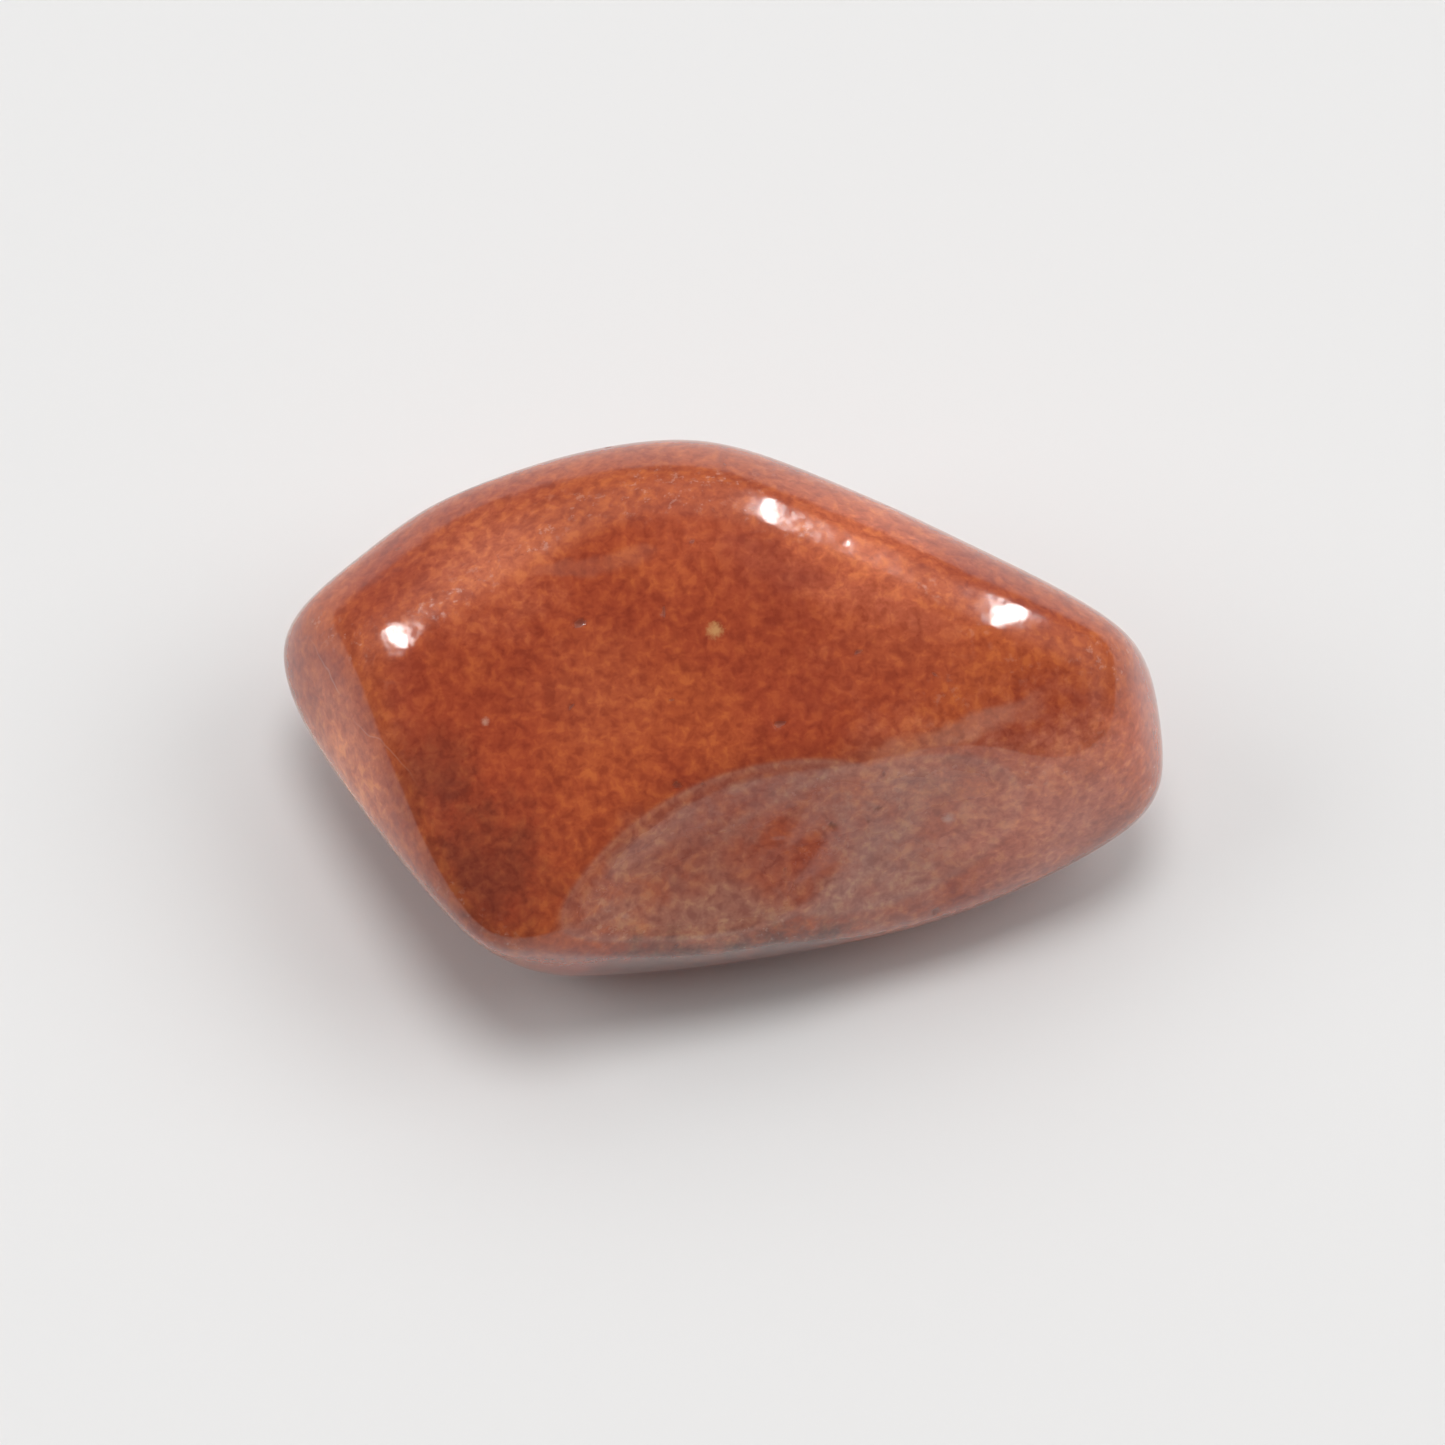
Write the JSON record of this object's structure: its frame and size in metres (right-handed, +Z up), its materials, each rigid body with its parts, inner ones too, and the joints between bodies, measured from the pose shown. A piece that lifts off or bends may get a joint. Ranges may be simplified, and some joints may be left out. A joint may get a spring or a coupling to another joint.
{
  "type": "tumbled red jasper chip",
  "caption": "Small tumbled and polished stone chip with worn flat facets, softened ridges and shell-shaped scars, lying on its broad worn face; a loose decorative or filling stone.",
  "frame": {"origin": "middle of the chip's outline box, on the surface that the chip rests on", "axes": "+X along the chip's length, towards its blunt right end in the picture; +Y away from the viewer of the picture; +Z up"},
  "size_m": [0.0128, 0.008, 0.0056],
  "materials": {
    "polished_jasper": "tumble-polished brick-red jasper with a wet gloss, faint brown and ochre clouding, a few pale pits and hairline healed veins"
  },
  "bodies": {
    "root": {"jasper_chip": "polished_jasper"}
  },
  "joints": []
}
